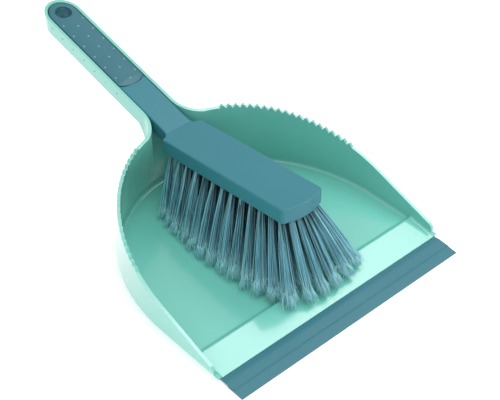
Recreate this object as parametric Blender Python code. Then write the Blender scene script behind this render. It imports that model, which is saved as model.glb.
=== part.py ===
"""Dust pan and brush set: a moulded hand dust pan with a soft lip, and its brush parked in it.

The pan stands on its base. The brush handle lies in the pan's channel handle, flush with its rim,
and the brush head hangs over the pan's floor with the bristle tips just clear of the ramp.
X runs across the pan, Y from the lip to the end of the handle, Z up. Metres.
"""
import math

import bmesh
import bpy
from mathutils import Matrix, Vector

# ---- driving dimensions ----
GAP = 0.0003                 # between pieces that touch
CUT = 0.010                  # how far a cutter runs past what it cuts
FLAT_ANGLE = 0.0002          # triangles closer to one plane than this are one flat face
HALF_END = 88.0              # degrees where a half outline stops short of the middle line
HALF_START = 271.5           # and where one that begins at the middle line starts

# pan: Y is measured from the lip's front edge
PAN_WIDTH = 0.236
PAN_WALL = 0.0026
PAN_FLOOR = 0.003
PAN_BACK = 0.2185            # back wall's outer face, at the rim
SIDE_END = 0.090             # where the straight sides turn into the back curve
BACK_LEAN = 0.012            # the back wall leans in by this much
LEAN_HEIGHT = 0.062          # over this height
BASE_RADIUS = 0.006          # round outer edge under the walls

# ramp behind the lip
RAMP_FRONT = 0.024
RAMP_FRONT_HEIGHT = 0.0024
RAMP_CREST = 0.050
RAMP_CREST_HEIGHT = 0.0065
RAMP_FOOT = 0.054            # the floor starts here
RAMP_SKIN = 0.0026

# rim line, seen from the side
WALL_FRONT = 0.028           # the side walls start here
WALL_STEP = 0.0006           # they stand this much proud of the ramp's edge at their foot
WALL_FRONT_HEIGHT = 0.0094
WALL_CORNER = 0.005          # round top corner of each side wall
RIM_SLOPE = 0.333
RIM_BREAK = 0.190            # the rim eases into the handle's slope here
RIM_EASE = 0.022
HANDLE_SLOPE = 0.2348

# comb teeth on the rim
TEETH_PER_SIDE = 20
TEETH_PITCH = 0.0061
TEETH_START_ANGLE = 67.2     # degrees round the back curve, where the row begins near the handle
TOOTH_FOOT = 0.0046
TOOTH_TIP = 0.0011
TOOTH_HEIGHT = 0.0026

# lip
LIP_WIDTH = 0.230
LIP_EDGE = 0.0007            # thickness of the front edge
LIP_CREST = 0.0185           # the lip is thickest here
LIP_THICKNESS = 0.0027
LIP_SEAT = 0.0010            # pan flange under the lip, its top
LIP_FLANGE = 0.008           # and its length
FLANGE_INSET = 0.003         # the flange is this much narrower than the lip, each side
LIP_EASE = 0.002             # the crest falls off within this length
LIP_EASE_DROP = 0.0001       # by this much

# brush
HANDLE_WIDTH = 0.026
HANDLE_THICKNESS = 0.0125
HANDLE_END = 0.3628          # centre of the round end
HANDLE_END_LENGTH = 0.0148   # from there to its tip
HANDLE_EDGE = 0.0045         # round underside edges
HEAD_WIDTH = 0.041
HEAD_LENGTH = 0.1505
HEAD_THICKNESS = 0.0134
HEAD_SLOPE = -0.105
HEAD_NOSE_RADIUS = 0.042
HEAD_CORNER = 0.0035
HEAD_BEVEL = 0.0012
NECK = 0.2075                # where the head's top meets the handle's
NECK_EASE = 0.0075           # the underside changes from head to handle over this length
SHOULDER = 0.0045            # the head's back corners start this far in front of the neck
SHOULDER_CORNER = 0.0015
SHOULDER_TURN = 80.0
NOSE_END = 290.0             # degrees where the nose's curve turns into its corner

# How finely the curves are cut.
TUB_STEPS = 26
END_STEPS = 10
ROOT_STEPS = 10
ROOT_ROWS = 3
NOSE_STEPS = 5
CORNER_STEPS = 3
FILLET_STEPS = 6
WALL_CORNER_STEPS = 5
EASE_ROWS = 3
HOLE_SIDES = 24
PAD_COLUMNS = 6

# the channel that holds the brush handle
CHANNEL_SIDE = 0.0007
CHANNEL_UNDER = 0.0008
CHANNEL_EDGE = 0.0034        # round outer edges under the pan handle
CHANNEL_END = 0.0018         # room past the round end
CHANNEL_FLARE = 0.026        # round where the handle joins the back wall
CHANNEL_ROOT = 0.6           # how far back the solid root of the handle starts inside the pan
ROOT_ANGLE = 255.0           # degrees where the flare leaves the back wall
ROOT_START = 0.214           # the underside drops behind the back wall, from its lowest place here
ROOT_END = 0.242             # up to the handle's own line here
ROOT_HEIGHT = 0.012          # height of that lowest place

# hanging holes
HOLE_RADIUS = 0.0074
HOLE_CHAMFER = 0.0010
PAN_HOLE_RADIUS = 0.0058
HOLE_PLACE = 0.002           # beyond the centre of the round end

# grip pad
GRIP_LENGTH = 0.112
GRIP_NOSE = 0.005            # how far its round front bulges
GRIP_SEAT = 0.0014           # sunk into the handle
GRIP_CROWN = 0.0018
GRIP_PROUD = 0.0002          # edge of the pad over the handle's rim
GRIP_EDGE = 0.0007           # round top edge
GRIP_SHOULDER = 0.0006       # straight stretch between the round front and the sides
SEAT_WIDER = 1.4             # the seat's cutter is this much wider than the pad

# bristle tufts: two outer rows, two inner rows and a short row across the nose
OUTER_TUFTS = 13
INNER_TUFTS = 12
NOSE_TUFTS = 4
TUFT_RADIUS = 0.0021
TUFT_SIDES = 8
TUFT_DEPTH = 0.0085          # inside the head
TUFT_EDGE_X = 0.0050         # outer rows to the head's sides
TUFT_EDGE_NOSE = 0.0065      # nose row to the nose
TUFT_EDGE_CORNER = 0.0115    # outer rows start this far behind the nose
TUFT_EDGE_BACK = 0.0095      # last tufts to the back edge
TIP_CLEARANCE = 0.0010       # tips over the crest of the ramp, and over the floor at the back
TIP_FAN_MIDDLE = 2.75        # how far the tips spread, as a share of the root's place
TIP_FAN_ENDS = 2.20
TIP_SWEEP_BACK = 0.011       # tips forward of the roots
TIP_SWEEP_FRONT = 0.029
TIP_FILL = 0.84              # share of the spacing along the brush that a tuft's tip takes
TIP_FILL_ACROSS = 0.60       # and across it

# ---- worked-out places ----
PAN_HALF = PAN_WIDTH / 2
HANDLE_HALF = HANDLE_WIDTH / 2
CHANNEL_HALF = HANDLE_HALF + CHANNEL_SIDE + PAN_WALL
CHANNEL_DEPTH = HANDLE_THICKNESS + CHANNEL_UNDER + PAN_WALL
CHANNEL_END_LENGTH = HANDLE_END_LENGTH + CHANNEL_END + PAN_WALL
OVERALL_LENGTH = HANDLE_END + CHANNEL_END_LENGTH
HEAD_NOSE = NECK - HEAD_LENGTH
TUFT_FRONT = HEAD_NOSE + TUFT_EDGE_NOSE
TUFT_BACK = NECK - TUFT_EDGE_BACK
RAMP_SLOPE = (RAMP_CREST_HEIGHT - RAMP_FRONT_HEIGHT) / (RAMP_CREST - RAMP_FRONT)
RIM_BREAK_HEIGHT = WALL_FRONT_HEIGHT + RIM_SLOPE * (RIM_BREAK - WALL_FRONT)
TRIM_TOP = RIM_BREAK_HEIGHT + HANDLE_SLOPE * (OVERALL_LENGTH - RIM_BREAK) + 3 * CUT


def clear_scene():
    for item in list(bpy.data.objects):
        bpy.data.objects.remove(item, do_unlink=True)


def plastic(name, colour, roughness):
    material = bpy.data.materials.new(name)
    material.use_nodes = True
    shader = material.node_tree.nodes["Principled BSDF"]
    shader.inputs["Base Color"].default_value = (*colour, 1.0)
    shader.inputs["Roughness"].default_value = roughness
    shader.inputs["Metallic"].default_value = 0.0
    return material


# ---- lines seen from the side ----
def handle_line(y):
    """Height of the rim and of the brush handle's top edge along the handle."""
    return RIM_BREAK_HEIGHT + HANDLE_SLOPE * (y - RIM_BREAK)


def wall_line(y):
    return WALL_FRONT_HEIGHT + RIM_SLOPE * (y - WALL_FRONT)


def rim_height(y):
    """The side walls' line, eased into the handle's line."""
    if y <= RIM_BREAK - RIM_EASE:
        return wall_line(y)
    if y >= RIM_BREAK + RIM_EASE:
        return handle_line(y)
    share = (y - RIM_BREAK + RIM_EASE) / (2 * RIM_EASE)
    start = wall_line(RIM_BREAK - RIM_EASE)
    turn = (HANDLE_SLOPE - RIM_SLOPE) * RIM_EASE
    return start + 2 * RIM_EASE * RIM_SLOPE * share + turn * share * share


def floor_height(y):
    """Top of the pan's floor, with the ramp in front of it."""
    if y >= RAMP_FOOT:
        return PAN_FLOOR
    if y >= RAMP_CREST:
        share = (y - RAMP_CREST) / (RAMP_FOOT - RAMP_CREST)
        return RAMP_CREST_HEIGHT + (PAN_FLOOR - RAMP_CREST_HEIGHT) * share
    return RAMP_CREST_HEIGHT + RAMP_SLOPE * (y - RAMP_CREST)


def channel_underside(y, wall=0.0):
    """Underside of the pan handle. It drops at the root, so the handle opens into the tub.

    With a wall thickness it gives the inside of the channel instead.
    """
    line = handle_line(y) - CHANNEL_DEPTH
    share = min(max((ROOT_END - wall - y) / (ROOT_END - ROOT_START), 0.0), 1.0)
    return line + (ROOT_HEIGHT - line) * share * share * (3 - 2 * share) + wall


def brush_top(y):
    if y >= NECK:
        return handle_line(y)
    return handle_line(NECK) + HEAD_SLOPE * (y - NECK)


def brush_underside(y):
    share = min(max((y - NECK) / NECK_EASE, 0.0), 1.0)
    return brush_top(y) - HEAD_THICKNESS - (HANDLE_THICKNESS - HEAD_THICKNESS) * share


# ---- outlines seen from above: right-hand halves, front to back ----
def arc(cx, cy, radius, start, stop, steps, length=None):
    """Points on a circle, or an ellipse with a length along Y, from one angle to another."""
    points = []
    for step in range(steps + 1):
        angle = math.radians(start + (stop - start) * step / steps)
        points.append((cx + radius * math.cos(angle), cy + (length or radius) * math.sin(angle)))
    return points


def back_depth(z):
    """Depth of the back curve at a height: the wall leans in as it rises."""
    return PAN_BACK - SIDE_END + BACK_LEAN * (1 - z / LEAN_HEIGHT)


def tub_outline(z, front, steps=TUB_STEPS):
    straight = [(PAN_HALF, y) for y in sorted({front, RAMP_CREST, RAMP_FOOT})]
    depth = back_depth(z)
    curve = []
    for step in range(steps + 1):
        angle = math.radians(HALF_END * step / steps)
        curve.append((PAN_HALF * math.cos(angle), SIDE_END + depth * math.sin(angle)))
    return straight + curve


def channel_outline(front):
    """Outside of the pan handle: flared root, straight sides, round end."""
    centre_x = CHANNEL_HALF + CHANNEL_FLARE
    root = arc(centre_x, 0.0, CHANNEL_FLARE, ROOT_ANGLE, 180.0, ROOT_STEPS)
    wall_x = root[0][0]
    wall_y = SIDE_END + back_depth(rim_height(PAN_BACK)) * math.sqrt(1 - (wall_x / PAN_HALF) ** 2)
    lift = wall_y - root[0][1]
    root = [(x, y + lift) for x, y in root]
    last = root[-1][1]
    sides = [(CHANNEL_HALF, last + (ROOT_END - last) * row / ROOT_ROWS) for row in range(1, ROOT_ROWS + 1)]
    end = arc(0.0, HANDLE_END, CHANNEL_HALF, 0.0, HALF_END, END_STEPS, CHANNEL_END_LENGTH)
    return [(wall_x, front)] + root + sides + end


def brush_outline():
    """Outside of the brush from its nose to the round end of its handle."""
    half = HEAD_WIDTH / 2
    centre_y = HEAD_NOSE + HEAD_NOSE_RADIUS
    reach = half - HEAD_CORNER
    spread = math.degrees(math.asin(reach / HEAD_NOSE_RADIUS))
    nose = arc(0.0, centre_y, HEAD_NOSE_RADIUS, HALF_START, 270.0 + spread, NOSE_STEPS)
    corner_y = nose[-1][1] + HEAD_CORNER
    corner = arc(half - HEAD_CORNER, corner_y, HEAD_CORNER, NOSE_END, 360.0, CORNER_STEPS)
    turn = math.radians(SHOULDER_TURN)
    both = (half - HANDLE_HALF) / (1 - math.cos(turn))
    fillet = both - SHOULDER_CORNER
    back = arc(half - SHOULDER_CORNER, NECK - SHOULDER, SHOULDER_CORNER, 0.0, SHOULDER_TURN, CORNER_STEPS)
    neck = arc(HANDLE_HALF + fillet, NECK - SHOULDER + both * math.sin(turn), fillet,
               180.0 + SHOULDER_TURN, 180.0, FILLET_STEPS)[1:]
    end = arc(0.0, HANDLE_END, HANDLE_HALF, 0.0, HALF_END, END_STEPS, HANDLE_END_LENGTH)
    return nose + corner + back + neck + end


def grip_outline(inset=0.0):
    """The grip pad: a bulged front, the handle's sides and its round end."""
    half = HANDLE_HALF - inset
    front = HANDLE_END + HANDLE_END_LENGTH - GRIP_LENGTH + inset
    radius = (half * half + GRIP_NOSE * GRIP_NOSE) / (2 * GRIP_NOSE)
    spread = math.degrees(math.asin(half / radius)) - 1.0
    nose = arc(0.0, front + radius, radius, HALF_START, 270.0 + spread, NOSE_STEPS)
    end = arc(0.0, HANDLE_END, half, 0.0, HALF_END, END_STEPS, HANDLE_END_LENGTH - inset)
    return nose + [(half, nose[-1][1] + GRIP_SHOULDER)] + end


def inset_outline(points, distance, square_front):
    """Moves a half outline inwards. A square front keeps its Y."""
    mirrored_first = (-points[0][0], points[0][1])
    mirrored_last = (-points[-1][0], points[-1][1])
    ring = [mirrored_first] + list(points) + [mirrored_last]
    moved = []
    for before, here, after in zip(ring, ring[1:], ring[2:]):
        arriving = (Vector(here) - Vector(before)).normalized()
        leaving = (Vector(after) - Vector(here)).normalized()
        tangent = (arriving + leaving).normalized()
        reach = distance / tangent.dot(arriving)
        moved.append((here[0] - tangent.y * reach, here[1] + tangent.x * reach))
    if square_front:
        moved[0] = (points[0][0] - distance, points[0][1])
    return moved


# ---- solids ----
def new_object(name, mesh, material, parent=None):
    item = bpy.data.objects.new(name, mesh)
    bpy.context.scene.collection.objects.link(item)
    if material:
        mesh.materials.append(material)
    item.parent = parent
    return item


def smooth(mesh, angle=32.0):
    mesh.shade_smooth()
    mesh.set_sharp_from_angle(angle=math.radians(angle))


def finish_mesh(name, bm):
    bmesh.ops.triangulate(bm, faces=bm.faces)
    bmesh.ops.recalc_face_normals(bm, faces=bm.faces)
    bmesh.ops.dissolve_limit(bm, angle_limit=FLAT_ANGLE, verts=bm.verts, edges=bm.edges)
    mesh = bpy.data.meshes.new(name)
    bm.to_mesh(mesh)
    bm.free()
    smooth(mesh)
    return mesh


def skin(name, rings, crown=0.0, columns=1):
    """A closed solid through rings of right-hand points, bottom to top, mirrored to the left."""
    bm = bmesh.new()
    loops = []
    for ring in rings:
        right = [bm.verts.new(point) for point in ring]
        left = [bm.verts.new((-x, y, z)) for x, y, z in ring]
        loops.append(right + left[::-1])
    count = len(loops[0])
    half = count // 2
    for lower, upper in zip(loops, loops[1:]):
        for here in range(count):
            after = (here + 1) % count
            bm.faces.new((lower[here], lower[after], upper[after], upper[here]))
    for loop, top in ((loops[0], False), (loops[-1], True)):
        add_cap(bm, loop, half, crown if top else 0.0, columns if top else 1)
    return finish_mesh(name, bm)


def add_cap(bm, loop, half, crown, columns):
    """Closes a loop with strips across it, raised in the middle by a crown."""
    count = len(loop)
    rows = []
    for here in range(half):
        right = loop[here]
        left = loop[count - 1 - here]
        width = right.co.x / loop[half // 2].co.x
        row = [right]
        for column in range(1, columns):
            share = column / columns
            place = right.co.lerp(left.co, share)
            place.z += crown * min(width, 1.0) ** 2 * (1 - (2 * share - 1) ** 2)
            row.append(bm.verts.new(place))
        rows.append(row + [left])
    for near, far in zip(rows, rows[1:]):
        for column in range(columns):
            bm.faces.new((near[column], far[column], far[column + 1], near[column + 1]))
    if columns > 1:
        bm.faces.new(rows[0])
        bm.faces.new(rows[-1])


def rounded_rings(outline, low, high, low_radius, high_radius, square_front=False, steps=4):
    """Rings of a solid between two height lines, with round lower and upper edges.

    outline gives the half outline at a height; low, high and the radii are functions of Y.
    """
    rings = []
    for side in (0, 1):
        line, radius_at = ((low, low_radius), (high, high_radius))[side]
        sign = 1 - 2 * side
        edge_steps = steps if radius_at else 0
        for step in range(edge_steps + 1):
            turn = math.pi / 2 * (step / edge_steps if edge_steps else 1.0)
            if side:
                turn = math.pi / 2 - turn if edge_steps else turn
            ring = []
            level = line(SIDE_END) + (sign * PAN_WALL if edge_steps else 0.0)
            base = outline(level)
            for index, (x, y) in enumerate(base):
                radius = radius_at(y) if radius_at else 0.0
                inwards = radius * (1 - math.sin(turn))
                moved_x, moved_y = inset_outline(base, inwards, square_front)[index]
                rise = sign * radius * (1 - math.cos(turn))
                ring.append((moved_x, moved_y, line(moved_y) + rise))
            rings.append(ring)
    return rings


def side_prism(name, profile, half_width):
    """A solid with a side profile of (Y, Z) points, straight across the pan."""
    bm = bmesh.new()
    ends = []
    for x in (-half_width, half_width):
        ends.append([bm.verts.new((x, y, z)) for y, z in profile])
    count = len(profile)
    for here in range(count):
        after = (here + 1) % count
        bm.faces.new((ends[0][here], ends[0][after], ends[1][after], ends[1][here]))
    bm.faces.new(ends[0])
    bm.faces.new(ends[1])
    return finish_mesh(name, bm)


def add_frustum(bm, rings):
    """A closed body through rings of points, added to a bmesh."""
    loops = [[bm.verts.new(point) for point in ring] for ring in rings]
    count = len(loops[0])
    for lower, upper in zip(loops, loops[1:]):
        for here in range(count):
            after = (here + 1) % count
            bm.faces.new((lower[here], lower[after], upper[after], upper[here]))
    bm.faces.new(loops[0])
    bm.faces.new(loops[-1])


def circle(centre, radius_x, radius_y, sides, rotation=None):
    points = []
    for side in range(sides):
        angle = 2 * math.pi * (side + 0.5) / sides
        offset = Vector((radius_x * math.cos(angle), radius_y * math.sin(angle), 0.0))
        points.append(centre + (rotation @ offset if rotation else offset))
    return points


def cutter(name, mesh, parent):
    item = new_object(name, mesh, None, parent)
    item.hide_render = True
    item.display_type = "WIRE"
    item.hide_set(True)
    return item


def boolean(target, operation, *cutters):
    """Joins or cuts with one or more cutters at once."""
    step = target.modifiers.new(cutters[0].name, "BOOLEAN")
    step.operation = operation
    step.solver = "EXACT"
    if len(cutters) == 1:
        step.object = cutters[0]
    else:
        group = bpy.data.collections.new(f"{target.name} cutters")
        bpy.context.scene.collection.children.link(group)
        for item in cutters:
            group.objects.link(item)
        step.operand_type = "COLLECTION"
        step.collection = group


def constant(value):
    return lambda y: value


# ---- pan ----
def pan_trim_profile():
    """Everything above this line is cut away: flange step, wall ends and rim."""
    foot = floor_height(WALL_FRONT) + WALL_STEP
    profile = [(-CUT, -CUT), (RAMP_FRONT, -CUT), (RAMP_FRONT, foot), (WALL_FRONT, foot)]
    corner_y = WALL_FRONT + WALL_CORNER
    corner_z = wall_line(corner_y) - WALL_CORNER
    lean = math.degrees(math.atan(RIM_SLOPE))
    profile += arc(corner_y, corner_z, WALL_CORNER, 180.0, 90.0 + lean, WALL_CORNER_STEPS)
    eased = [RIM_BREAK + RIM_EASE * row / EASE_ROWS for row in range(-EASE_ROWS, EASE_ROWS + 1)]
    profile += [(y, rim_height(y)) for y in eased]
    last = OVERALL_LENGTH + CUT
    top = TRIM_TOP + 3 * CUT
    profile += [(last, handle_line(last)), (last, top), (-CUT, top)]
    return profile


def rim_place(angle):
    """A place on the middle of the back wall's rim, by its angle round the back curve."""
    y = PAN_BACK
    rounds = 4
    for _ in range(rounds):
        depth = back_depth(rim_height(y)) - PAN_WALL / 2
        y = SIDE_END + depth * math.sin(angle)
    return Vector(((PAN_HALF - PAN_WALL / 2) * math.cos(angle), y, rim_height(y)))


def comb_teeth():
    """Both rows of teeth, wider than the wall, as pockets for the trim."""
    bm = bmesh.new()
    angle = math.radians(TEETH_START_ANGLE)
    step = 0.001                 # a small turn, to find the rim's direction
    for _ in range(TEETH_PER_SIDE):
        place = rim_place(angle)
        along = rim_place(angle - step) - place
        for side in (-1, 1):
            add_tooth(bm, Vector((side * place.x, place.y, place.z)),
                      Vector((side * along.x, along.y, 0.0)).normalized())
        angle -= TEETH_PITCH * step / along.length
    return finish_mesh("comb_teeth", bm)


def add_tooth(bm, place, along):
    across = Vector((-along.y, along.x, 0.0)) * PAN_WALL
    foot = TOOTH_FOOT / 2
    tip = TOOTH_TIP / 2
    spread = (foot - tip) / TOOTH_HEIGHT * PAN_WALL / 2
    profile = ((-foot - spread, -PAN_WALL / 2), (foot + spread, -PAN_WALL / 2),
               (tip, TOOTH_HEIGHT), (-tip, TOOTH_HEIGHT))
    rings = []
    for sign in (-1, 1):
        rings.append([place + along * u + across * sign + Vector((0, 0, w)) for u, w in profile])
    add_frustum(bm, rings)


def make_pan(material, origin):
    outer = skin("pan_body", rounded_rings(
        lambda z: tub_outline(z, RAMP_FRONT - LIP_FLANGE - CUT / 2), constant(0.0), constant(TRIM_TOP),
        constant(BASE_RADIUS), None, square_front=True))
    pan = new_object("pan_body", outer, material, origin)
    handle = skin("channel_outside", rounded_rings(
        lambda z: channel_outline(SIDE_END + CHANNEL_ROOT * (PAN_BACK - SIDE_END)),
        channel_underside, constant(TRIM_TOP),
        constant(CHANNEL_EDGE), None, square_front=True))
    boolean(pan, "UNION", cutter("channel_outside", handle, origin))

    inner = skin("tub_inside", rounded_rings(
        lambda z: inset_outline(tub_outline(z, -CUT), PAN_WALL, True), floor_height,
        constant(TRIM_TOP + CUT), constant(BASE_RADIUS - PAN_WALL), None, square_front=True))
    channel = skin("channel_inside", rounded_rings(
        lambda z: inset_outline(channel_outline(SIDE_END), PAN_WALL, True),
        lambda y: channel_underside(y, PAN_WALL), constant(TRIM_TOP + 2 * CUT),
        constant(CHANNEL_EDGE - PAN_WALL), None, square_front=True))
    hollow = side_prism("ramp_hollow", [
        (WALL_FRONT, -CUT), (RAMP_CREST, -CUT),
        (RAMP_CREST, RAMP_CREST_HEIGHT - RAMP_SKIN),
        (WALL_FRONT, floor_height(WALL_FRONT) - RAMP_SKIN)], PAN_HALF - 2 * BASE_RADIUS)
    hole = hole_cutter("pan_hole", PAN_HOLE_RADIUS, 0.0)
    boolean(pan, "DIFFERENCE", rim_trim(origin))
    boolean(pan, "DIFFERENCE", *(cutter(mesh.name, mesh, origin)
                                 for mesh in (inner, channel, hollow, hole)))
    return pan


def rim_trim(origin):
    """Takes away all above the rim line, but leaves the teeth and the flange under the lip."""
    trim = cutter("rim_trim", side_prism("rim_trim", pan_trim_profile(), PAN_HALF + CUT), origin)
    flange = side_prism("lip_flange", [
        (RAMP_FRONT - LIP_FLANGE, -CUT / 2), (RAMP_FRONT + PAN_WALL, -CUT / 2),
        (RAMP_FRONT + PAN_WALL, LIP_SEAT), (RAMP_FRONT - LIP_FLANGE, LIP_SEAT)],
        LIP_WIDTH / 2 - FLANGE_INSET)
    boolean(trim, "DIFFERENCE", cutter("comb_teeth", comb_teeth(), origin),
            cutter("lip_flange", flange, origin))
    return trim


def hole_cutter(name, radius, chamfer):
    """A round cutter square to the handle's slope, widened at the top by a chamfer."""
    y = HANDLE_END + HOLE_PLACE
    centre = Vector((0.0, y, handle_line(y)))
    tilt = Matrix.Rotation(math.atan(HANDLE_SLOPE), 3, "X")
    up = tilt @ Vector((0.0, 0.0, 1.0))
    reach = CHANNEL_DEPTH + CUT
    levels = [(-reach, radius)]
    if chamfer:
        top = GRIP_CROWN
        levels += [(top - chamfer, radius), (top + CUT, radius + chamfer + CUT)]
    else:
        levels += [(reach, radius)]
    bm = bmesh.new()
    add_frustum(bm, [circle(centre + up * height, size, size, HOLE_SIDES, tilt) for height, size in levels])
    return finish_mesh(name, bm)


def make_lip(material, origin):
    """The soft strip along the pan's front edge, over the pan's flange."""
    back = RAMP_FRONT - GAP
    step = RAMP_FRONT - LIP_FLANGE - GAP
    profile = [
        (0.0, 0.0), (step, 0.0), (step, LIP_SEAT + GAP), (back, LIP_SEAT + GAP),
        (back, RAMP_FRONT_HEIGHT - GAP), (LIP_CREST + LIP_EASE, LIP_THICKNESS - LIP_EASE_DROP),
        (LIP_CREST, LIP_THICKNESS), (LIP_CREST - LIP_EASE, LIP_THICKNESS - LIP_EASE_DROP),
        (0.0, LIP_EDGE)]
    return new_object("lip", side_prism("lip", profile, LIP_WIDTH / 2), material, origin)


# ---- brush ----
def tuft_roots():
    """Name, place and spacing across of each tuft on the head's underside."""
    half = HEAD_WIDTH / 2 - TUFT_EDGE_X
    inner = half / 3
    corner = HEAD_NOSE + TUFT_EDGE_CORNER
    pitch = (TUFT_BACK - corner) / (OUTER_TUFTS - 1)
    roots = []
    for side, word in ((-1, "left"), (1, "right")):
        for number in range(OUTER_TUFTS):
            roots.append((f"tuft_{word}_{number + 1:02d}", side * half,
                          corner + pitch * number, 2 * inner))
        for number in range(INNER_TUFTS):
            roots.append((f"tuft_inner_{word}_{number + 1:02d}", side * inner,
                          corner + pitch * (number + 0.5), 2 * inner))
    space = 2 * half / (NOSE_TUFTS + 1)
    for number in range(NOSE_TUFTS):
        x = space * (number + 1) - half
        bulge = HEAD_NOSE_RADIUS - math.sqrt(HEAD_NOSE_RADIUS ** 2 - x * x)
        roots.append((f"tuft_nose_{number + 1:02d}", x, TUFT_FRONT + bulge, space))
    return roots


def tuft_axis(x, y):
    """Where a tuft leaves the head, where its tip is, and how far the tips fan out there."""
    share = (y - TUFT_FRONT) / (TUFT_BACK - TUFT_FRONT)
    fan = TIP_FAN_MIDDLE - (TIP_FAN_MIDDLE - TIP_FAN_ENDS) * (2 * share - 1) ** 2
    sweep = TIP_SWEEP_BACK + (TIP_SWEEP_FRONT - TIP_SWEEP_BACK) * (1 - share) ** 2
    height = RAMP_CREST_HEIGHT + (PAN_FLOOR - RAMP_CREST_HEIGHT) * share + TIP_CLEARANCE
    mouth = Vector((x, y, brush_underside(y)))
    return mouth, Vector((x * fan, y - sweep, height)), fan


def tuft_turn(mouth, tip):
    axis = (tip - mouth).normalized()
    return axis, Vector((0.0, 0.0, -1.0)).rotation_difference(axis).to_matrix()


def tuft_mesh(name, x, y, space, pitch):
    mouth, tip, fan = tuft_axis(x, y)
    axis, turn = tuft_turn(mouth, tip)
    radius_x = TIP_FILL_ACROSS * fan * space / 2
    radius_y = TIP_FILL * (tuft_axis(x, y + pitch)[1].y - tip.y) / 2
    rings = [
        circle(mouth - axis * TUFT_DEPTH, TUFT_RADIUS, TUFT_RADIUS, TUFT_SIDES, turn),
        circle(mouth + axis * TUFT_RADIUS / 2, TUFT_RADIUS, TUFT_RADIUS, TUFT_SIDES, turn),
        circle(tip, radius_x, radius_y, TUFT_SIDES)]
    bm = bmesh.new()
    add_frustum(bm, rings)
    return finish_mesh(name, bm)


def tuft_holes():
    """The blind holes of all tufts, as one cutter."""
    bm = bmesh.new()
    radius = TUFT_RADIUS + GAP
    for _, x, y, _ in tuft_roots():
        mouth, tip, _ = tuft_axis(x, y)
        axis, turn = tuft_turn(mouth, tip)
        add_frustum(bm, [
            circle(mouth - axis * (TUFT_DEPTH + GAP), radius, radius, TUFT_SIDES, turn),
            circle(mouth + axis * 2 * TUFT_RADIUS, radius, radius, TUFT_SIDES, turn)])
    return finish_mesh("tuft_holes", bm)


def brush_edge(y):
    """Radius of the underside edges: small on the head, round along the handle."""
    share = min(max((y - NECK) / (2 * NECK_EASE), 0.0), 1.0)
    return HEAD_BEVEL / 2 + (HANDLE_EDGE - HEAD_BEVEL / 2) * share


def make_brush_body(material, parent):
    outline = brush_outline()
    body = skin("brush_body", rounded_rings(
        lambda z: outline, brush_underside, brush_top, brush_edge, constant(HEAD_BEVEL), steps=3))
    brush = new_object("brush_body", body, material, parent)

    seat_outline = [(x * SEAT_WIDER, y) for x, y in grip_outline()]
    seat_outline = [(x, y + (CUT if y > HANDLE_END else 0.0)) for x, y in seat_outline]
    seat = skin("grip_seat", rounded_rings(
        lambda z: seat_outline, lambda y: handle_line(y) - GRIP_SEAT,
        lambda y: handle_line(y) + CUT, None, None))
    hole = hole_cutter("brush_hole", HOLE_RADIUS, 0.0)
    boolean(brush, "DIFFERENCE", *(cutter(mesh.name, mesh, parent)
                                   for mesh in (seat, tuft_holes(), hole)))
    return brush


def make_grip(material, parent):
    """The soft pad on the handle, crowned across, with the hanging hole through it."""
    outline = grip_outline(inset=GAP)
    rings = rounded_rings(lambda z: outline, lambda y: handle_line(y) - GRIP_SEAT + GAP,
                          lambda y: handle_line(y) + GRIP_PROUD, None, constant(GRIP_EDGE), steps=2)
    pad = new_object("grip_pad", skin("grip_pad", rings, GRIP_CROWN, PAD_COLUMNS), material, parent)
    hole = hole_cutter("grip_hole", HOLE_RADIUS, HOLE_CHAMFER)
    boolean(pad, "DIFFERENCE", cutter("grip_hole", hole, parent))
    return pad


def make_tufts(material, parent):
    pitch = (TUFT_BACK - HEAD_NOSE - TUFT_EDGE_CORNER) / (OUTER_TUFTS - 1)
    for name, x, y, space in tuft_roots():
        new_object(name, tuft_mesh(name, x, y, space, pitch), material, parent)


def main():
    clear_scene()
    mint = plastic("mint plastic", (0.22, 0.62, 0.54), 0.35)
    teal = plastic("teal plastic", (0.08, 0.28, 0.33), 0.45)
    rubber = plastic("teal rubber", (0.09, 0.29, 0.34), 0.6)
    fibre = plastic("teal bristle fibre", (0.05, 0.20, 0.24), 0.55)

    origin = bpy.data.objects.new("pan_origin", None)
    origin.location = (0.0, -OVERALL_LENGTH / 2, 0.0)
    bpy.context.scene.collection.objects.link(origin)
    lift = bpy.data.objects.new("brush_lift", None)
    lift.parent = origin
    bpy.context.scene.collection.objects.link(lift)

    make_pan(mint, origin)
    make_lip(rubber, origin)
    make_brush_body(teal, lift)
    make_grip(rubber, lift)
    make_tufts(fibre, lift)


main()
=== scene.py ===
import math

import bmesh
import bpy
import numpy as np
from mathutils import Matrix, Vector


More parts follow.
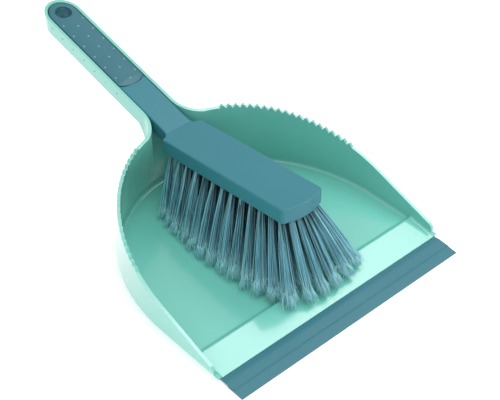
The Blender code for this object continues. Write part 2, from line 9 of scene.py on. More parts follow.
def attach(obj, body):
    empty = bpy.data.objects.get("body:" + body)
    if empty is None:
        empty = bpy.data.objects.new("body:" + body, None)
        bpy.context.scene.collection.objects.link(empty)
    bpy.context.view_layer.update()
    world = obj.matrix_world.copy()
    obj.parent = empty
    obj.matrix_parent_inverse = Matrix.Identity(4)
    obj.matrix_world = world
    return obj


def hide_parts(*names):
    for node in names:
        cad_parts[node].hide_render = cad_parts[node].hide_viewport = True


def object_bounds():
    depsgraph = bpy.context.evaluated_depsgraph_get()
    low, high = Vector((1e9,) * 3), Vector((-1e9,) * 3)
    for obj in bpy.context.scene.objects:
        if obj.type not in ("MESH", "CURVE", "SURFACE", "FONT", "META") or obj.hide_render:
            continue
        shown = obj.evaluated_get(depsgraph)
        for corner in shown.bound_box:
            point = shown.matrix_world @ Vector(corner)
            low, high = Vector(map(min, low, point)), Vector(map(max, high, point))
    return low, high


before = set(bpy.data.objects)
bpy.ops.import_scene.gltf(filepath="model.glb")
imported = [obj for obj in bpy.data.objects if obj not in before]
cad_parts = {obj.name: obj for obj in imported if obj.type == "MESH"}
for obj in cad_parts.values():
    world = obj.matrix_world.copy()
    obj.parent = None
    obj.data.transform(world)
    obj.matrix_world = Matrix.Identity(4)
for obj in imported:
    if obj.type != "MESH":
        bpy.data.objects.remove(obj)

cadLow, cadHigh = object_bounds()

# Lengths are in metres. Shapes are built with y from the lip's front edge, then moved to the row frame.
seed = 11
gap = 0.0003
cut = 0.010
flatAngle = 0.0002
sharpAngle = math.radians(35.0)
faceWeight = 80
halfStart = 270.5
halfEnd = 88.5
toRow = Matrix.Translation((0.0, cadLow.y, 0.0))

# How finely each curve is cut.
facets = {
    "end": 30, "root": 40, "rootRows": 6, "wallCorner": 14, "rimEase": 12, "rampEase": 4, "nose": 20,
    "headCorner": 10, "headSide": 12, "shoulder": 8, "neck": 14, "gripNose": 14, "gripSide": 20,
    "gripEdge": 6, "gripColumns": 28, "hole": 64, "lipCrest": 10, "lipRidge": 4,
}


# ---- plain shape tools ----
def arc(cx, cy, radius, start, stop, steps, length=None):
    points = []
    for step in range(steps + 1):
        angle = math.radians(start + (stop - start) * step / steps)
        points.append((cx + radius * math.cos(angle), cy + (length or radius) * math.sin(angle)))
    return points


def constant(value):
    return lambda y: value


# Moves a right-hand outline inwards; distances holds one value per point.
def insetOutline(points, distances, squareFront=False):
    ring = [(-points[0][0], points[0][1])] + list(points) + [(-points[-1][0], points[-1][1])]
    moved = []
    for before, here, after, distance in zip(ring, ring[1:], ring[2:], distances):
        arriving = (Vector(here) - Vector(before)).normalized()
        leaving = (Vector(after) - Vector(here)).normalized()
        tangent = (arriving + leaving).normalized()
        reach = distance / tangent.dot(arriving)
        moved.append((here[0] - tangent.y * reach, here[1] + tangent.x * reach))
    if squareFront:
        moved[0] = (points[0][0] - distances[0], points[0][1])
    return moved


def finishMesh(name, bm):
    bmesh.ops.triangulate(bm, faces=bm.faces)
    bmesh.ops.recalc_face_normals(bm, faces=bm.faces)
    bmesh.ops.dissolve_limit(bm, angle_limit=flatAngle, verts=bm.verts, edges=bm.edges)
    mesh = bpy.data.meshes.new(name)
    bm.to_mesh(mesh)
    bm.free()
    return mesh


# A closed solid through equal rings of points.
def addTube(bm, loops):
    rings = [[bm.verts.new(point) for point in loop] for loop in loops]
    count = len(rings[0])
    for lower, upper in zip(rings, rings[1:]):
        for here in range(count):
            after = (here + 1) % count
            bm.faces.new((lower[here], lower[after], upper[after], upper[here]))
    bm.faces.new(rings[0])
    bm.faces.new(rings[-1])


# A closed solid through right-hand rings, bottom to top, mirrored to the left.
def skin(name, rings, crown=0.0, columns=1):
    bm = bmesh.new()
    loops = []
    for ring in rings:
        right = [bm.verts.new(point) for point in ring]
        left = [bm.verts.new((-x, y, z)) for x, y, z in ring]
        loops.append(right + left[::-1])
    count = len(loops[0])
    for lower, upper in zip(loops, loops[1:]):
        for here in range(count):
            after = (here + 1) % count
            bm.faces.new((lower[here], lower[after], upper[after], upper[here]))
    addCap(bm, loops[0], 0.0, 1)
    addCap(bm, loops[-1], crown, columns)
    return finishMesh(name, bm)


def addCap(bm, loop, crown, columns):
    count = len(loop)
    half = count // 2
    widest = max(vertex.co.x for vertex in loop)
    rows = []
    for here in range(half):
        right = loop[here]
        left = loop[count - 1 - here]
        width = right.co.x / widest
        row = [right]
        for column in range(1, columns):
            share = column / columns
            place = right.co.lerp(left.co, share)
            place.z += crown * width ** 2 * (1 - (2 * share - 1) ** 2)
            row.append(bm.verts.new(place))
        rows.append(row + [left])
    for near, far in zip(rows, rows[1:]):
        for column in range(columns):
            bm.faces.new((near[column], far[column], far[column + 1], near[column + 1]))
    if columns > 1:
        bm.faces.new(rows[0])
        bm.faces.new(rows[-1])


# Rings of a solid between two height lines, with round lower and upper edges.
def roundedRings(outline, low, high, lowRadius, highRadius, level, squareFront=False, steps=8):
    rings = []
    for side, line, radiusAt in ((0, low, lowRadius), (1, high, highRadius)):
        sign = 1 - 2 * side
        turns = [step / steps for step in range(steps + 1)] if radiusAt else [1.0]
        if side:
            turns = turns[::-1]
        base = outline(level[side])
        radii = [radiusAt(y) if radiusAt else 0.0 for _, y in base]
        for turn in turns:
            angle = math.pi / 2 * turn
            inwards = [radius * (1 - math.sin(angle)) for radius in radii]
            moved = insetOutline(base, inwards, squareFront)
            rings.append([(x, y, line(y) + sign * radius * (1 - math.cos(angle)))
                          for (x, y), radius in zip(moved, radii)])
    return rings


def sidePrism(name, profile, halfWidth):
    bm = bmesh.new()
    addTube(bm, [[(x, y, z) for y, z in profile] for x in (-halfWidth, halfWidth)])
    return finishMesh(name, bm)


def circle(centre, radius, sides, rotation):
    points = []
    for side in range(sides):
        angle = 2 * math.pi * side / sides
        points.append(centre + rotation @ Vector((radius * math.cos(angle), radius * math.sin(angle), 0.0)))
    return points


# A low round bump standing on a surface.
def addDome(bm, centre, up, radius, height, sides=18, steps=5):
    turn = Vector((0.0, 0.0, 1.0)).rotation_difference(up).to_matrix()
    loops = [circle(centre - up * height, radius, sides, turn)]
    for step in range(steps):
        angle = math.pi / 2 * step / steps
        loops.append(circle(centre + up * height * math.sin(angle), radius * math.cos(angle), sides, turn))
    addTube(bm, loops)


def newObject(name, mesh):
    item = bpy.data.objects.new(name, mesh)
    bpy.context.scene.collection.objects.link(item)
    return item


# Applies one Boolean step and takes the cutters away.
def carve(target, operation, *cutters):
    step = target.modifiers.new(operation, "BOOLEAN")
    step.operation = operation
    step.solver = "EXACT"
    if len(cutters) == 1:
        step.object = cutters[0]
    else:
        group = bpy.data.collections.new(operation)
        bpy.context.scene.collection.children.link(group)
        for item in cutters:
            group.objects.link(item)
        step.operand_type = "COLLECTION"
        step.collection = group
    bpy.context.view_layer.update()
    graph = bpy.context.evaluated_depsgraph_get()
    mesh = bpy.data.meshes.new_from_object(target.evaluated_get(graph))
    target.modifiers.clear()
    target.data = mesh
    for item in cutters:
        bpy.data.objects.remove(item, do_unlink=True)


# Adds bumps to a piece, and marks them for its finish.
def joinBumps(item, bm):
    bumps = len(bm.verts)
    bm.from_mesh(item.data)
    bm.to_mesh(item.data)
    marks = np.zeros(len(bm.verts), np.float32)
    marks[:bumps] = 1.0
    bm.free()
    item.data.attributes.new("bump", "FLOAT", "POINT").data.foreach_set("value", marks)


# Soft shading that keeps flat faces flat, then the move to the row frame.
def settle(item, look, body, nodes):
    mesh = item.data
    mesh.transform(toRow)
    mesh.shade_smooth()
    mesh.set_sharp_from_angle(angle=sharpAngle)
    mesh.materials.clear()
    mesh.materials.append(look)
    shade = item.modifiers.new("flat faces", "WEIGHTED_NORMAL")
    shade.keep_sharp = True
    shade.weight = faceWeight
    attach(item, body)
    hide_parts(*nodes)


# ---- shader tools ----
def isNumber(part):
    return part.socket.type == "VALUE" if isinstance(part, Value) else isinstance(part, (int, float))


# One shader socket, with plain arithmetic.
class Value:
    def __init__(self, socket):
        self.socket = socket

    def combined(self, operation, first, second):
        parts = (first, second)
        kind = "ShaderNodeMath" if all(isNumber(part) for part in parts) else "ShaderNodeVectorMath"
        made = self.socket.id_data.nodes.new(kind)
        made.operation = operation
        for socket, part in zip(made.inputs, parts):
            feed(socket, part)
        return Value(made.outputs[0])

    def __add__(self, other):
        return self.combined("ADD", self, other)

    def __radd__(self, other):
        return self.combined("ADD", other, self)

    def __sub__(self, other):
        return self.combined("SUBTRACT", self, other)

    def __rsub__(self, other):
        return self.combined("SUBTRACT", other, self)

    def __mul__(self, other):
        return self.combined("MULTIPLY", self, other)

    def __rmul__(self, other):
        return self.combined("MULTIPLY", other, self)

    def __truediv__(self, other):
        return self.combined("DIVIDE", self, other)

    def __rtruediv__(self, other):
        return self.combined("DIVIDE", other, self)

    def __pow__(self, other):
        return self.combined("POWER", self, other)


def feed(socket, value):
    if isinstance(value, Value):
        socket.id_data.links.new(value.socket, socket)
    elif socket.type == "RGBA":
        socket.default_value = (*value, 1.0)
    elif socket.type == "VECTOR":
        socket.default_value = value if isinstance(value, tuple) else (value, value, value)
    else:
        socket.default_value = value


class Finish:
    def __init__(self, name):
        self.material = bpy.data.materials.new(name)
        self.material.use_nodes = True
        self.tree = self.material.node_tree
        self.shader = self.tree.nodes["Principled BSDF"]

    def node(self, kind, settings, inputs, out=0):
        made = self.tree.nodes.new("ShaderNode" + kind)
        for name, value in settings.items():
            setattr(made, name, value)
        for name, value in inputs.items():
            feed(made.inputs[name], value)
        return Value(made.outputs[out])

    def noise(self, place, scale, detail=2.0, rough=0.5):
        return self.node("TexNoise", {}, {"Vector": place, "Scale": scale, "Detail": detail,
                                          "Roughness": rough}, "Fac")

    def ramp(self, value, low, high, toLow=0.0, toHigh=1.0):
        return self.node("MapRange", {"interpolation_type": "SMOOTHSTEP"}, {
            "Value": value, "From Min": low, "From Max": high, "To Min": toLow, "To Max": toHigh})

    def mix(self, factor, first, second):
        colourFirst, colourSecond = 6, 7
        return self.node("Mix", {"data_type": "RGBA"}, {
            0: factor, colourFirst: first, colourSecond: second}, 2)

    def set(self, **inputs):
        for name, value in inputs.items():
            feed(self.shader.inputs[name.replace("_", " ")], value)


# Linear colour from the usual 0 to 255 values.
def tint(red, green, blue):
    linear = []
    for part in (red, green, blue):
        share = part / 255
        linear.append(share / 12.92 if share <= 0.04045 else ((share + 0.055) / 1.055) ** 2.4)
    return tuple(linear)


# How scuffs lie on every moulded surface, and how a painted highlight lies along its rounded edges.
surface = {
    "detail": 3.0, "scuffScale": (60.0, 1500.0, 900.0), "scuffLow": 0.62, "scuffHigh": 0.80,
    "scuffHeight": -0.00001, "patchScale": 38.0, "patchLow": 0.45, "patchHigh": 0.70, "bevelSamples": 6,
    "highlightLow": 0.01, "highlightHigh": 0.20, "bumpShare": 0.8, "coatIor": 1.6,
}


# Moulded plastic or rubber: clouded colour, fine grain, faint scuffs, and a painted highlight on rounded
# edges.
def mouldedFinish(name, spec):
    look = Finish(name)
    place = look.node("TexCoord", {}, {}, "Object")
    cloud = look.noise(place, spec["cloudScale"], surface["detail"])
    grain = look.noise(place, spec["grainScale"])
    rub = look.node("Mapping", {}, {"Vector": place, "Rotation": (0.0, 0.0, spec["scuffTurn"]),
                                    "Scale": surface["scuffScale"]})
    streaks = look.noise(rub, 1.0, surface["detail"])
    scuff = look.ramp(streaks, surface["scuffLow"], surface["scuffHigh"])
    patch = look.ramp(look.noise(place, surface["patchScale"]), surface["patchLow"], surface["patchHigh"])
    rounded = look.node("Bevel", {"samples": surface["bevelSamples"]}, {"Radius": spec["edge"]}, "Normal")
    flat = look.node("NewGeometry", {}, {}, "Normal")
    facing = look.node("VectorMath", {"operation": "DOT_PRODUCT"}, {0: rounded, 1: flat}, "Value")
    # Rounded edges, found where the bevel normal turns from the face normal, get a painted highlight toward
    # highlightTone.
    paintedHighlight = look.ramp(1.0 - facing, surface["highlightLow"], surface["highlightHigh"])
    bump = look.node("Attribute", {"attribute_name": "bump"}, {}, "Fac")

    colour = look.mix(cloud, spec["dark"], spec["light"])
    colour = look.mix(grain * spec["grainTone"], colour, spec["deep"])
    colour = look.mix(paintedHighlight * spec["highlightShare"], colour, spec["highlightTone"])
    # Bumps take bumpTone: on the grip a lighter tone, a painted highlight on each bump; on the pan's side
    # dots a darker tone.
    colour = look.mix(bump * surface["bumpShare"], colour, spec["bumpTone"])
    rough = spec["roughness"] + (grain - 0.5) * spec["grainRough"] + scuff * patch * spec["scuff"]
    scratches = scuff * patch * surface["scuffHeight"]
    height = grain * spec["grainHeight"] + cloud * spec["waveHeight"] + scratches
    normal = look.node("Bump", {}, {"Strength": 1.0, "Distance": 1.0, "Height": height, "Normal": rounded})
    look.set(Base_Color=colour, Roughness=rough, Normal=normal, IOR=spec["ior"])
    look.set(Coat_Weight=spec["coat"], Coat_Roughness=spec["coatRoughness"],
             Coat_IOR=surface["coatIor"])
    return look.material


# ---- pan ----
pan = {
    "width": 0.236, "wall": 0.0026, "floor": 0.003, "back": 0.2185, "sideEnd": 0.090,
    "backLean": 0.012, "leanHeight": 0.062, "baseRadius": 0.006, "backSteps": 140, "backEnd": 89.3,
    "rampFront": 0.024, "rampFrontHeight": 0.0024, "rampCrest": 0.050, "rampCrestHeight": 0.0065,
    "rampFoot": 0.054, "rampSkin": 0.0026, "rampEase": 0.0009, "rampRows": 24,
    "wallFront": 0.028, "wallStep": 0.0006, "wallFrontHeight": 0.0094, "wallCorner": 0.005,
    "rimSlope": 0.333, "rimBreak": 0.190, "rimEase": 0.022, "handleSlope": 0.2348,
    "teeth": 20, "toothPitch": 0.0061, "toothStart": 67.2, "toothFoot": 0.0046,
    "toothTip": 0.0011, "toothHeight": 0.0026, "toothRound": 0.45,
    "channelSide": 0.0007, "channelUnder": 0.0008, "channelEdge": 0.0034, "channelEnd": 0.0018,
    "channelFlare": 0.026, "channelRoot": 0.6, "rootAngle": 255.0, "rootStart": 0.214,
    "rootEnd": 0.242, "rootHeight": 0.012, "holeRadius": 0.0058,
    "dots": 7, "dotFirst": 0.269, "dotPitch": 0.01505, "dotDrop": 0.0052,
    "dotRadius": 0.0011, "dotHeight": 0.0004,
}
lip = {
    "width": 0.230, "edge": 0.0007, "crest": 0.0185, "thickness": 0.0027, "seat": 0.0010,
    "flange": 0.008, "flangeInset": 0.003, "ridge": 0.009, "ridgeHeight": 0.00035, "ridgeHalf": 0.0009,
    "frontBevel": 0.0004, "frontRound": 0.0003, "crestEase": 0.0030, "crestCut": 0.0001,
}
brush = {
    "handleWidth": 0.026, "handleThickness": 0.0125, "handleEnd": 0.3628, "endLength": 0.0148,
    "handleEdge": 0.0045, "headWidth": 0.041, "headLength": 0.1505, "headThickness": 0.0134,
    "headSlope": -0.105, "noseRadius": 0.042, "headCorner": 0.0035, "headBevel": 0.0012, "noseEnd": 284.0,
    "neck": 0.2075, "neckEase": 0.0075, "shoulder": 0.0045, "shoulderCorner": 0.0015,
    "shoulderTurn": 80.0, "holeRadius": 0.0074, "holeChamfer": 0.0010, "holePlace": 0.002,
}

panHalf = pan["width"] / 2
handleHalf = brush["handleWidth"] / 2
channelHalf = handleHalf + pan["channelSide"] + pan["wall"]
channelDepth = brush["handleThickness"] + pan["channelUnder"] + pan["wall"]
channelEndLength = brush["endLength"] + pan["channelEnd"] + pan["wall"]
overallLength = brush["handleEnd"] + channelEndLength
headNose = brush["neck"] - brush["headLength"]
rampSlope = (pan["rampCrestHeight"] - pan["rampFrontHeight"]) / (pan["rampCrest"] - pan["rampFront"])
rimBreakHeight = pan["wallFrontHeight"] + pan["rimSlope"] * (pan["rimBreak"] - pan["wallFront"])
trimTop = rimBreakHeight + pan["handleSlope"] * (overallLength - pan["rimBreak"]) + 3 * cut


def handleLine(y):
    return rimBreakHeight + pan["handleSlope"] * (y - pan["rimBreak"])


def wallLine(y):
    return pan["wallFrontHeight"] + pan["rimSlope"] * (y - pan["wallFront"])


def rimHeight(y):
    start = pan["rimBreak"] - pan["rimEase"]
    span = 2 * pan["rimEase"]
    if y <= start:
        return wallLine(y)
    if y >= start + span:
        return handleLine(y)
    share = (y - start) / span
    turn = (pan["handleSlope"] - pan["rimSlope"]) * pan["rimEase"]
    return wallLine(start) + span * pan["rimSlope"] * share + turn * share * share


def sharpFloor(y):
    if y >= pan["rampFoot"]:
        return pan["floor"]
    if y >= pan["rampCrest"]:
        share = (y - pan["rampCrest"]) / (pan["rampFoot"] - pan["rampCrest"])
        return pan["rampCrestHeight"] + (pan["floor"] - pan["rampCrestHeight"]) * share
    return pan["rampCrestHeight"] + rampSlope * (y - pan["rampCrest"])


# The floor and ramp line with its crest and foot eased.
def floorHeight(y):
    ease = pan["rampEase"]
    rows = facets["rampEase"]
    near = [sharpFloor(y + ease * row / rows) for row in range(-rows, rows + 1)]
    return sum(near) / len(near)


def backDepth(z):
    return pan["back"] - pan["sideEnd"] + pan["backLean"] * (1 - z / pan["leanHeight"])


def tubOutline(z, front):
    start = pan["rampCrest"] - 2 * pan["rampEase"]
    stop = pan["rampFoot"] + 2 * pan["rampEase"]
    rows = [start + (stop - start) * row / pan["rampRows"] for row in range(pan["rampRows"] + 1)]
    straight = [(panHalf, y) for y in [front] + rows]
    depth = backDepth(z)
    curve = []
    for step in range(pan["backSteps"] + 1):
        angle = math.radians(pan["backEnd"] * step / pan["backSteps"])
        curve.append((panHalf * math.cos(angle), pan["sideEnd"] + depth * math.sin(angle)))
    return straight + curve


def channelOutline(front):
    centreX = channelHalf + pan["channelFlare"]
    root = arc(centreX, 0.0, pan["channelFlare"], pan["rootAngle"], 180.0, facets["root"])
    wallX = root[0][0]
    wallY = pan["sideEnd"] + backDepth(rimHeight(pan["back"])) * math.sqrt(1 - (wallX / panHalf) ** 2)
    root = [(x, y + wallY - root[0][1]) for x, y in root]
    last = root[-1][1]
    rows = facets["rootRows"]
    sides = [(channelHalf, last + (pan["rootEnd"] - last) * row / rows) for row in range(1, rows + 1)]
    end = arc(0.0, brush["handleEnd"], channelHalf, 0.0, halfEnd, facets["end"], channelEndLength)
    return [(wallX, front)] + root + sides + end


# The underside of the pan handle drops at its root, so the handle opens into the tub.
def channelUnderside(y, wall=0.0):
    line = handleLine(y) - channelDepth
    share = min(max((pan["rootEnd"] - wall - y) / (pan["rootEnd"] - pan["rootStart"]), 0.0), 1.0)
    return line + (pan["rootHeight"] - line) * share * share * (3 - 2 * share) + wall


def trimProfile():
    foot = sharpFloor(pan["wallFront"]) + pan["wallStep"]
    corner = pan["wallCorner"]
    profile = [(-cut, -cut), (pan["rampFront"], -cut), (pan["rampFront"], foot), (pan["wallFront"], foot)]
    cornerY = pan["wallFront"] + corner
    lean = math.degrees(math.atan(pan["rimSlope"]))
    profile += arc(cornerY, wallLine(cornerY) - corner, corner, 180.0, 90.0 + lean, facets["wallCorner"])
    rows = facets["rimEase"]
    eased = [pan["rimBreak"] + pan["rimEase"] * row / rows for row in range(-rows, rows + 1)]
    profile += [(y, rimHeight(y)) for y in eased]
    last = overallLength + cut
    top = trimTop + 3 * cut
    return profile + [(last, handleLine(last)), (last, top), (-cut, top)]


# A place on the middle of the rim, by its angle round the back curve.
def rimPlace(angle):
    y = pan["back"]
    rounds = 5
    for _ in range(rounds):
        depth = backDepth(rimHeight(y)) - pan["wall"] / 2
        y = pan["sideEnd"] + depth * math.sin(angle)
    return Vector(((panHalf - pan["wall"] / 2) * math.cos(angle), y, rimHeight(y)))


def combTeeth():
    bm = bmesh.new()
    angle = math.radians(pan["toothStart"])
    step = 0.001
    for _ in range(pan["teeth"]):
        place = rimPlace(angle)
        along = rimPlace(angle - step) - place
        for side in (-1, 1):
            addTooth(bm, Vector((side * place.x, place.y, place.z)),
                     Vector((side * along.x, along.y, 0.0)).normalized())
        angle -= pan["toothPitch"] * step / along.length
    return finishMesh("teeth", bm)


def addTooth(bm, place, along):
    wall = pan["wall"]
    across = Vector((-along.y, along.x, 0.0)) * wall
    foot = pan["toothFoot"] / 2
    tip = pan["toothTip"] / 2
    spread = (foot - tip) / pan["toothHeight"] * wall / 2
    ease = tip * pan["toothRound"]
    profile = ((-foot - spread, -wall / 2), (foot + spread, -wall / 2),
               (tip + ease / 2, pan["toothHeight"] - ease), (tip - ease, pan["toothHeight"]),
               (ease - tip, pan["toothHeight"]), (-tip - ease / 2, pan["toothHeight"] - ease))
    addTube(bm, [[place + along * u + across * sign + Vector((0, 0, w)) for u, w in profile]
                 for sign in (-1, 1)])


def rimTrim():
    trim = newObject("trim", sidePrism("trim", trimProfile(), panHalf + cut))
    front = pan["rampFront"]
    flange = newObject("flange", sidePrism("flange", [
        (front - lip["flange"], -cut / 2), (front + pan["wall"], -cut / 2),
        (front + pan["wall"], lip["seat"]), (front - lip["flange"], lip["seat"])],
        lip["width"] / 2 - lip["flangeInset"]))
    carve(trim, "DIFFERENCE", newObject("teeth", combTeeth()), flange)
    return trim


def handleFrame(y):
    tilt = Matrix.Rotation(math.atan(pan["handleSlope"]), 3, "X")
    return Vector((0.0, y, handleLine(y))), tilt, tilt @ Vector((0.0, 0.0, 1.0))


def holeCutter(name, levels):
    centre, tilt, up = handleFrame(brush["handleEnd"] + brush["holePlace"])
    bm = bmesh.new()
    addTube(bm, [circle(centre + up * height, radius, facets["hole"], tilt) for height, radius in levels])
    return newObject(name, finishMesh(name, bm))


def buildPan(look):
    wall = pan["wall"]
    outer = skin("pan", roundedRings(
        lambda z: tubOutline(z, pan["rampFront"] - lip["flange"] - cut / 2), constant(0.0),
        constant(trimTop), constant(pan["baseRadius"]), None, (wall, trimTop), True))
    item = newObject("pan", outer)
    channel = skin("channel", roundedRings(
        lambda z: channelOutline(pan["sideEnd"] + pan["channelRoot"] * (pan["back"] - pan["sideEnd"])),
        channelUnderside, constant(trimTop),
        constant(pan["channelEdge"]), None, (0.0, 0.0), True))
    carve(item, "UNION", newObject("channel", channel))

    def inside(outline):
        return insetOutline(outline, [wall] * len(outline), True)
    tub = skin("tub", roundedRings(
        lambda z: inside(tubOutline(z, -cut)), floorHeight, constant(trimTop + cut),
        constant(pan["baseRadius"] - wall), None, (pan["floor"] + wall, trimTop + cut), True))
    slot = skin("slot", roundedRings(
        lambda z: inside(channelOutline(pan["sideEnd"])),
        lambda y: channelUnderside(y, wall), constant(trimTop + 2 * cut),
        constant(pan["channelEdge"] - wall), None, (0.0, 0.0), True))
    hollow = sidePrism("hollow", [
        (pan["wallFront"], -cut), (pan["rampCrest"], -cut),
        (pan["rampCrest"], pan["rampCrestHeight"] - pan["rampSkin"]),
        (pan["wallFront"], sharpFloor(pan["wallFront"]) - pan["rampSkin"])],
        panHalf - 2 * pan["baseRadius"])
    reach = channelDepth + cut
    carve(item, "DIFFERENCE", rimTrim())
    carve(item, "DIFFERENCE", *(newObject(mesh.name, mesh) for mesh in (tub, slot, hollow)),
          holeCutter("panHole", [(-reach, pan["holeRadius"]), (reach, pan["holeRadius"])]))

    bm = bmesh.new()
    for number in range(pan["dots"]):
        y = pan["dotFirst"] + pan["dotPitch"] * number
        for side in (-1, 1):
            addDome(bm, Vector((side * channelHalf, y, handleLine(y) - pan["dotDrop"])),
                    Vector((side, 0.0, 0.0)), pan["dotRadius"], pan["dotHeight"])
    joinBumps(item, bm)
    settle(item, look, "pan", ["pan_body"])
    return item


# ---- lip ----
def buildLip(look):
    front = pan["rampFront"]
    back = front - gap
    step = front - lip["flange"] - gap
    profile = [(lip["frontBevel"], 0.0), (step, 0.0), (step, lip["seat"] + gap), (back, lip["seat"] + gap),
               (back, pan["rampFrontHeight"] - gap)]
    crest = lip["crest"]
    crestRows = facets["lipCrest"]
    rows = [crest + lip["crestEase"] * (1 - 2 * row / crestRows) for row in range(crestRows + 1)]
    profile += [(y, lipTop(y)) for y in rows]
    ridgeRows = facets["lipRidge"]
    rows = [lip["ridge"] - lip["ridgeHalf"] * row / ridgeRows for row in range(-ridgeRows, ridgeRows + 1)]
    profile += [(y, lipTop(y)) for y in rows]
    profile += [(lip["frontBevel"], lip["edge"]), (0.0, lip["edge"] - lip["frontRound"]),
                (0.0, lip["frontRound"])]
    item = newObject("lip", sidePrism("lip", profile, lip["width"] / 2))
    settle(item, look, "pan", ["lip"])
    return item


def lipTop(y):
    crest = lip["crest"]
    rise = lip["edge"] + (lip["thickness"] - lip["edge"]) * y / crest
    fall = lip["thickness"] - (lip["thickness"] - pan["rampFrontHeight"] + gap) * (y - crest) / (
        pan["rampFront"] - crest)
    height = min(rise, fall, lip["thickness"] - lip["crestCut"])
    near = abs(y - lip["ridge"]) / lip["ridgeHalf"]
    return height + (lip["ridgeHeight"] * math.cos(near * math.pi / 2) ** 2 if near < 1 else 0.0)


# ---- brush body ----
def brushTop(y):
    if y >= brush["neck"]:
        return handleLine(y)
    return handleLine(brush["neck"]) + brush["headSlope"] * (y - brush["neck"])


def brushUnderside(y):
    share = min(max((y - brush["neck"]) / brush["neckEase"], 0.0), 1.0)
    thicker = brush["headThickness"] - brush["handleThickness"]
    return brushTop(y) - brush["headThickness"] + thicker * share


def brushEdge(y):
    share = min(max((y - brush["neck"]) / (2 * brush["neckEase"]), 0.0), 1.0)
    small = brush["headBevel"] / 2
    return small + (brush["handleEdge"] - small) * share


def brushOutline():
    half = brush["headWidth"] / 2
    radius = brush["noseRadius"]
    corner = brush["headCorner"]
    spread = math.degrees(math.asin((half - corner) / radius))
    nose = arc(0.0, headNose + radius, radius, halfStart, 270.0 + spread, facets["nose"])
    front = arc(half - corner, nose[-1][1] + corner, corner, brush["noseEnd"], 360.0, facets["headCorner"])
    turn = math.radians(brush["shoulderTurn"])
    both = (half - handleHalf) / (1 - math.cos(turn))
    fillet = both - brush["shoulderCorner"]
    shoulder = brush["neck"] - brush["shoulder"]
    start = front[-1][1]
    rows = facets["headSide"]
    sides = [(half, start + (shoulder - start) * row / rows) for row in range(1, rows)]
    back = arc(half - brush["shoulderCorner"], shoulder, brush["shoulderCorner"], 0.0,
               brush["shoulderTurn"], facets["shoulder"])
    neck = arc(handleHalf + fillet, shoulder + both * math.sin(turn), fillet,
               180.0 + brush["shoulderTurn"], 180.0, facets["neck"])[1:]
    end = arc(0.0, brush["handleEnd"], handleHalf, 0.0, halfEnd, facets["end"], brush["endLength"])
    return nose + front + sides + back + neck + end


def buildBrush(look, nodes):
    outline = brushOutline()
    body = skin("brush_body_look", roundedRings(
        lambda z: outline, brushUnderside, brushTop, brushEdge, constant(brush["headBevel"]), (0.0, 0.0)))
    item = newObject("brush", body)
    wider = grip["seatWider"]
    seatOutline = [(x * wider, y + (cut if y > brush["handleEnd"] else 0.0)) for x, y in gripOutline(0.0)]
    seat = newObject("seat", skin("seat", roundedRings(
        lambda z: seatOutline, lambda y: handleLine(y) - grip["seat"],
        lambda y: handleLine(y) + cut, None, None, (0.0, 0.0))))
    reach = channelDepth + cut
    hole = holeCutter("brushHole", [(-reach, brush["holeRadius"]), (reach, brush["holeRadius"])])
    carve(item, "DIFFERENCE", seat, hole)
    settle(item, look, "brush", nodes)
    return item


# ---- grip pad ----
grip = {
    "length": 0.112, "nose": 0.005, "seat": 0.0014, "crown": 0.0018, "edge": 0.0007, "proud": 0.0002,
    "noseStart": 270.6, "noseShort": 1.0, "noseGap": 0.0006, "seatWider": 1.4,
    "rowFirst": 0.271, "rowPitch": 0.0144, "rowCount": 6, "sideFirst": 0.278, "sidePitch": 0.0145,
    "sideCount": 6, "sideX": 0.0100, "bumpRadius": 0.0008, "bumpHeight": 0.0004,
}


def gripOutline(inset):
    half = handleHalf - inset
    front = brush["handleEnd"] + brush["endLength"] - grip["length"] + inset
    radius = (half * half + grip["nose"] ** 2) / (2 * grip["nose"])
    spread = math.degrees(math.asin(half / radius)) - grip["noseShort"]
    nose = arc(0.0, front + radius, radius, grip["noseStart"], 270.0 + spread, facets["gripNose"])
    start = nose[-1][1] + grip["noseGap"]
    rows = facets["gripSide"]
    sides = [(half, start + (brush["handleEnd"] - start) * row / rows) for row in range(rows)]
    end = arc(0.0, brush["handleEnd"], half, 0.0, halfEnd, facets["end"], brush["endLength"] - inset)
    return nose + sides + end


def gripTop(x, y):
    rise = grip["crown"] * (1 - (x / (handleHalf - gap - grip["edge"])) ** 2)
    return handleLine(y) + grip["proud"] + max(rise, 0.0)


def buildGrip(look):
    outline = gripOutline(gap)
    rings = roundedRings(lambda z: outline, lambda y: handleLine(y) - grip["seat"] + gap,
                         lambda y: handleLine(y) + grip["proud"], None, constant(grip["edge"]),
                         (0.0, 0.0), steps=facets["gripEdge"])
    item = newObject("grip", skin("grip", rings, grip["crown"], facets["gripColumns"]))
    hole = brush["holeRadius"]
    chamfer = brush["holeChamfer"]
    carve(item, "DIFFERENCE", holeCutter("gripHole", [
        (-channelDepth, hole), (grip["crown"] - chamfer, hole),
        (grip["crown"] + cut, hole + chamfer + cut)]))
    bm = bmesh.new()
    _, _, up = handleFrame(brush["handleEnd"])
    rows = [(0.0, grip["rowFirst"] + grip["rowPitch"] * number) for number in range(grip["rowCount"])]
    for side in (-1, 1):
        rows += [(side * grip["sideX"], grip["sideFirst"] + grip["sidePitch"] * number)
                 for number in range(grip["sideCount"])]
    for x, y in rows:
        addDome(bm, Vector((x, y, gripTop(x, y))), up, grip["bumpRadius"], grip["bumpHeight"])
    joinBumps(item, bm)
    settle(item, look, "brush", ["grip_pad"])
    return item


